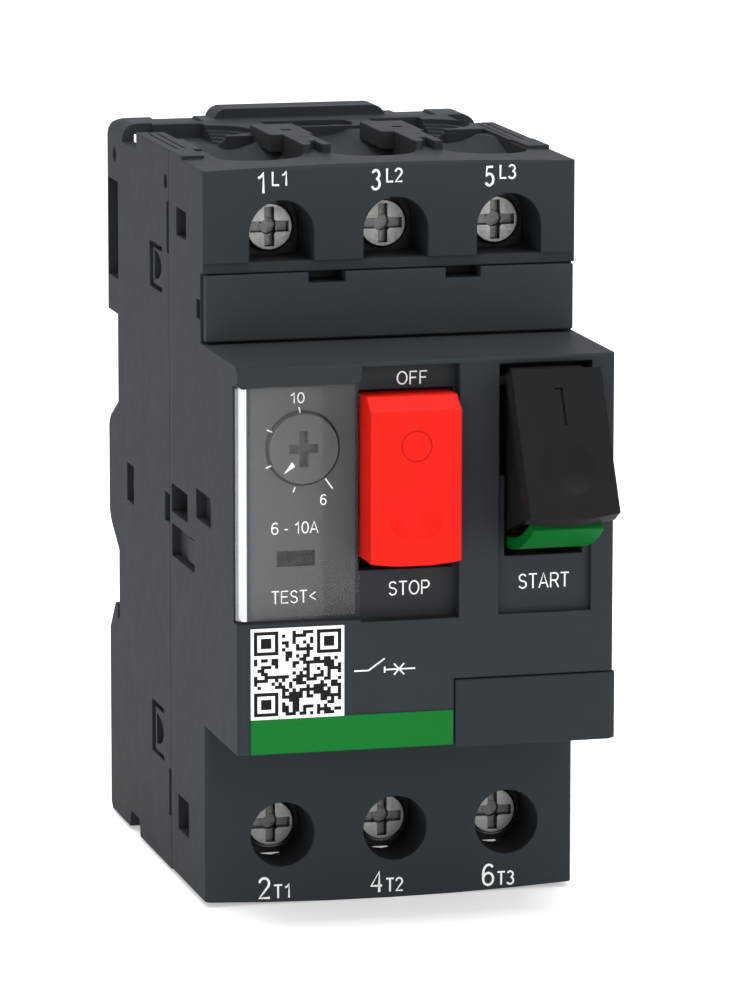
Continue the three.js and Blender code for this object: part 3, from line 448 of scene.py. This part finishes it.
def stroke_mesh(name, strokes, width, front):
    """Flat strokes of one width, given in (x, z) millimetres, their faces at y = front."""
    curve = bpy.data.curves.new(name, "CURVE")
    curve.dimensions = "3D"
    curve.bevel_depth = width / 2 * MM
    curve.bevel_resolution = 1
    curve.use_fill_caps = True
    for stroke in strokes:
        spline = curve.splines.new("POLY")
        spline.points.add(len(stroke) - 1)
        for point, (x, z) in zip(spline.points, stroke):
            point.co = (x * MM, 0, z * MM, 1)
    holder = bpy.data.objects.new(name, curve)
    bpy.context.scene.collection.objects.link(holder)
    bpy.context.view_layer.update()
    mesh = bpy.data.meshes.new_from_object(holder.evaluated_get(bpy.context.evaluated_depsgraph_get()))
    bpy.data.objects.remove(holder)
    for v in mesh.vertices:
        v.co.y = front + PRINT / 2 + v.co.y / (width * MM) * PRINT
    mesh.update()
    return mesh


def lettering(name, words, anchor, box, width, front):
    """A word in a box of (left, right, bottom, top), in millimetres from the anchor."""
    left, right, bottom, top = box
    strokes = word_strokes(words, left + width / 2, right - width / 2, bottom, top)
    strokes = [moved(stroke, anchor) for stroke in strokes]
    add_piece(name, stroke_mesh(name, strokes, width, front), WHITE_INK, "housing")


def flat_mesh(name, outlines, front, depth=PRINT):
    """Thin prisms from outlines in (x, z) millimetres, their faces at y = front."""
    build = bmesh.new()
    for outline in outlines:
        near = [build.verts.new((x * MM, front, z * MM)) for x, z in outline]
        far = [build.verts.new((x * MM, front + depth, z * MM)) for x, z in outline]
        count = len(outline)
        build.faces.new(near)
        build.faces.new(list(reversed(far)))
        for i in range(count):
            j = (i + 1) % count
            build.faces.new((near[j], near[i], far[i], far[j]))
    bmesh.ops.recalc_face_normals(build, faces=build.faces)
    mesh = bpy.data.meshes.new(name)
    build.to_mesh(mesh)
    build.free()
    return mesh


def block(x0, x1, z0, z1):
    return [(x0, z0), (x1, z0), (x1, z1), (x0, z1)]


def terminal_marks():
    """Terminal numbers and names above the line screws and below the load screws."""
    face = FACE_FRONT - PRINT
    number, name = 0.33, 0.25              # widths of the strokes
    for n in (1, 2, 3):
        line, load = middle(f"line_screw_{n}"), middle(f"load_screw_{n}")
        odd, even = str(2 * n - 1), str(2 * n)
        lettering(f"mark_line_{n}", odd, line, (-3.1, -1.7, 4.75, 7.1), number, face)
        lettering(f"mark_line_name_{n}", f"L{n}", line, (-1.3, 0.9, 5.55, 7.18), name, face)
        lettering(f"mark_load_{n}", even, load, (-3.1, -1.35, -7.65, -5.05), number, face)
        lettering(f"mark_load_name_{n}", f"T{n}", load, (-1.2, 1.1, -7.65, -6.0), name, face)


def control_marks():
    """The words beside the controls and the numbers of the dial."""
    floor = SETTING_FLOOR - PRINT
    word, test, number = 0.2, 0.17, 0.16   # widths of the strokes
    lettering("mark_off", "OFF", STOP_MIDDLE, (-1.15, 2.65, 10.5, 12.05), word, floor)
    lettering("mark_stop", "STOP", STOP_MIDDLE, (-2.1, 2.95, -13.9, -12.25), word, floor)
    lettering("mark_start", "START", START_MIDDLE, (-3.15, 3.1, -13.6, -11.85), word, START_FLOOR - PRINT)
    lettering("mark_test", "TEST<", DIAL_MIDDLE, (-3.75, 1.65, -17.9, -16.4), test, floor)
    lettering("mark_dial_high", "10", DIAL_MIDDLE, (-1.55, 0.3, 5.2, 6.4), number, floor)
    lettering("mark_dial_low", "6", DIAL_MIDDLE, (2.0, 2.85, -6.65, -5.45), number, floor)
    lettering("mark_dial_range", "6 - 10A", DIAL_MIDDLE, (-3.75, 1.9, -9.85, -8.5), number, floor)


def dial_scale():
    """The ticks round the dial, on the recess floor, and the pointer that turns with the dial."""
    ticks = [
        [(-0.43, 4.75), (-0.26, 4.06)], [(-4.17, 2.27), (-3.53, 1.95)],
        [(-4.3, -2.15), (-3.66, -1.89)], [(-1.1, -5.06), (-0.89, -4.47)],
        [(2.65, -3.61), (3.52, -4.82)],
    ]
    ticks = [moved(tick, DIAL_MIDDLE) for tick in ticks]
    scale = stroke_mesh("dial_ticks", ticks, 0.18, SETTING_FLOOR - PRINT)
    add_piece("dial_ticks", scale, WHITE_INK, "housing")
    corners = moved([(-2.35, -2.8), (-1.4, -1.45), (-1.05, -2.0)], DIAL_MIDDLE)
    pointer = flat_mesh("dial_pointer", [corners], DIAL_FRONT - PRINT)
    add_piece("dial_pointer", pointer, WHITE_INK, "setting_dial")


def ring_mesh(name, x, z, radius, width, front):
    """A flat ring round (x, z), in millimetres, its face at y = front."""
    segments = 48
    build = bmesh.new()
    loops = []
    for r in (radius - width / 2, radius + width / 2):
        for y in (front, front + PRINT):
            loops.append([build.verts.new(((x + r * math.cos(a)) * MM, y, (z + r * math.sin(a)) * MM))
                          for a in (2 * math.pi * i / segments for i in range(segments))])
    inner_near, inner_far, outer_near, outer_far = loops
    for a, b in ((inner_near, outer_near), (outer_near, outer_far), (outer_far, inner_far),
                 (inner_far, inner_near)):
        for i in range(segments):
            j = (i + 1) % segments
            build.faces.new((a[i], a[j], b[j], b[i]))
    bmesh.ops.recalc_face_normals(build, faces=build.faces)
    mesh = bpy.data.meshes.new(name)
    build.to_mesh(mesh)
    build.free()
    return mesh


def button_marks():
    """The thin circle engraved on the stop control, as a darker red ring a hair in front of its face:
    painted shade for the groove.
    """
    # Darker red than the button: painted shade where the engraved groove would fall dark.
    engraving_shade_red = moulded_plastic("stop_engraving_painted_shade", (0.50, 0.012, 0.010), 0.5, 0.1)
    x, z = moved([(0.05, 4.15)], STOP_MIDDLE)[0]
    ring = ring_mesh("stop_ring", x, z, 1.75, 0.16, STOP_FRONT - 0.015 * MM)
    add_piece("stop_ring", ring, engraving_shade_red, "stop_button")


def label_pattern():
    """A mosaic of squares on the white field: decoration that holds no data."""
    front = LABEL_LO.y - PRINT
    count, square = 25, 7
    field_width, margin = 10.95, 0.35
    field_height = (LABEL_HI.z - LABEL_LO.z - GREEN_BAND) / MM
    left, low = LABEL_LO.x / MM + margin, (LABEL_LO.z + GREEN_BAND) / MM + margin
    cell_x = (field_width - 2 * margin) / count
    cell_z = (field_height - 2 * margin) / count
    row_fill = 0.999                   # keeps neighbouring rows from sharing a face
    corners = [(0, 0), (0, count - square), (count - square, count - square)]

    def is_dark(i, j):
        for a, b in corners:
            if a - 1 <= i <= a + square and b - 1 <= j <= b + square:
                ring = max(abs(i - a - square // 2), abs(j - b - square // 2))
                return ring in (0, 1, 3)
        scatter = math.sin(i * 12.9898 + j * 78.233) * 43758.5453 % 1
        return scatter > 0.52

    blocks = []
    for j in range(count):
        start = None
        for i in range(count + 1):
            dark = i < count and is_dark(i, j)
            if dark and start is None:
                start = i
            if not dark and start is not None:
                z = low + j * cell_z
                blocks.append(block(left + start * cell_x, left + i * cell_x, z, z + cell_z * row_fill))
                start = None
    add_piece("label_mosaic", flat_mesh("label_mosaic", blocks, front), BLACK_INK, "housing")


def setting_field():
    """Paler matt field on the recess floor, left open round the dial and the test slot."""
    cover_lo, cover_hi = (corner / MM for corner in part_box("sealing_cover"))
    left, right, low, high = cover_lo.x + 1.95, cover_hi.x - 0.05, cover_lo.z - 0.1, cover_hi.z
    x, z = DIAL_MIDDLE
    reach, rim = 4.7, 4.4
    slider_lo, slider_hi = (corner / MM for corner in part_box("test_slider"))
    slot_left, slot_right = slider_lo.x + 0.2, slider_hi.x - 1.7
    slot_low, slot_high = slider_lo.z + 1.28, slider_hi.z - 1.28
    outlines = [
        block(left, right, z + reach, high), block(left, x - reach, z - reach, z + reach),
        block(x + reach, right, z - reach, z + reach), block(left, right, slot_high, z - reach),
        block(left, slot_left, slot_low, slot_high), block(slot_right, right, slot_low, slot_high),
        block(left, right, low, slot_low),
    ]
    steps = 48
    for i in range(steps):
        corners = []
        for angle in (2 * math.pi * i / steps, 2 * math.pi * (i + 1) / steps):
            across, up = math.cos(angle), math.sin(angle)
            out = reach / max(abs(across), abs(up))
            corners.append(((x + rim * across, z + rim * up), (x + out * across, z + out * up)))
        (inner_a, outer_a), (inner_b, outer_b) = corners
        outlines.append([inner_a, outer_a, outer_b, inner_b])
    field = moulded_plastic("setting_field", (0.066, 0.070, 0.073), 0.6, 0.1, 0.02, edge=0.0)
    thickness = PRINT / 2              # thinner than the ink, so that the marks stay in front
    mesh = flat_mesh("setting_field", outlines, SETTING_FLOOR - thickness, thickness)
    add_piece("setting_field", mesh, field, "housing")


def circuit_symbol():
    """Circuit-diagram outline of a switch contact and a trip cross, beside the mosaic."""
    strokes = [
        [(0.0, 0.0), (1.7, 0.0)], [(1.7, 0.0), (3.6, 1.3)], [(3.6, 0.35), (3.6, -0.35)],
        [(3.6, 0.0), (4.5, 0.0)], [(4.5, 0.0), (7.2, 0.0)],
        [(4.7, -0.65), (5.9, 0.65)], [(4.7, 0.65), (5.9, -0.65)],
    ]
    start = (LABEL_LO.x / MM + 12.15, LABEL_HI.z / MM - 5.45)
    strokes = [moved(stroke, start) for stroke in strokes]
    mesh = stroke_mesh("circuit_symbol", strokes, 0.2, NOSE_FRONT - PRINT)
    add_piece("circuit_symbol", mesh, WHITE_INK, "housing")


# ---------- floor, light and camera ----------
def studio():
    """White paper that lies under the part and curves up behind it."""
    floor_z = cad_box[0][2]
    material, tree, shader = new_material("studio_paper")
    where = object_coordinates(tree)
    paper = noise(tree, where, 30, 3)
    tree.links.new(ramp(tree, paper, [(0.3, (0.93, 0.93, 0.93)), (0.7, (0.95, 0.95, 0.95))]),
                   shader.inputs["Base Color"])
    shader.inputs["Roughness"].default_value = 0.9
    shader.inputs["Emission Color"].default_value = (1, 1, 1, 1)
    shader.inputs["Emission Strength"].default_value = 0.4
    build = bmesh.new()
    rows = []
    radius, front, back, half_width, top, steps = 0.5, -2.5, 0.9, 3.0, 3.5, 12
    profile = [(front, 0.0), (back, 0.0)]
    for i in range(1, steps + 1):
        angle = math.pi / 2 * i / steps
        profile.append((back + radius * math.sin(angle), radius - radius * math.cos(angle)))
    profile.append((back + radius, top))
    for y, z in profile:
        rows.append([build.verts.new((x, y, floor_z + z)) for x in (-half_width, half_width)])
    for a, b in zip(rows, rows[1:]):
        build.faces.new((a[0], a[1], b[1], b[0]))
    mesh = bpy.data.meshes.new("studio_sweep")
    build.to_mesh(mesh)
    build.free()
    smooth(mesh)
    sweep = bpy.data.objects.new("studio_sweep", mesh)
    mesh.materials.append(material)
    bpy.context.scene.collection.objects.link(sweep)


def area_light(name, position, target, size, power):
    data = bpy.data.lights.new(name, "AREA")
    data.shape = "RECTANGLE"
    data.size, data.size_y = size
    data.energy = power
    light = bpy.data.objects.new(name, data)
    light.location = position
    light.rotation_euler = (Vector(target) - Vector(position)).to_track_quat("-Z", "Y").to_euler()
    bpy.context.scene.collection.objects.link(light)


def lights():
    world = bpy.data.worlds.new("studio_world")
    bpy.context.scene.world = world
    world.use_nodes = True
    background = world.node_tree.nodes["Background"]
    background.inputs["Color"].default_value = (0.94, 0.97, 1.0, 1)
    background.inputs["Strength"].default_value = 0.62
    middle = (0, -0.04, 0)
    area_light("key_left", (-0.9, -0.55, 0.55), middle, (0.7, 0.7), 0.3)
    area_light("front_fill", (0.35, -1.1, 0.25), middle, (0.8, 0.8), 4.5)
    area_light("top_soft", (0.0, -0.15, 1.0), middle, (0.8, 0.6), 8.0)


def camera():
    """The photo's view: a long lens, turned 14 degrees and tipped down 10."""
    pitch, roll, yaw = 10.1, -0.039, -14.35
    data = bpy.data.cameras.new("camera")
    data.lens = 223.5
    data.sensor_width = 36
    data.shift_x = 0.00715
    data.shift_y = -0.0111
    data.clip_start = 0.05
    view = bpy.data.objects.new("camera", data)
    view.location = (-0.1810, -0.74634, 0.1324)
    view.rotation_euler = (math.radians(90 - pitch), math.radians(roll), math.radians(yaw))
    bpy.context.scene.collection.objects.link(view)
    bpy.context.scene.camera = view


finish_nodes()
springs()
clear_cover()
label_film()
terminal_marks()
control_marks()
dial_scale()
button_marks()
label_pattern()
setting_field()
circuit_symbol()
studio()
lights()
camera()
bpy.context.scene.view_settings.view_transform = "Standard"
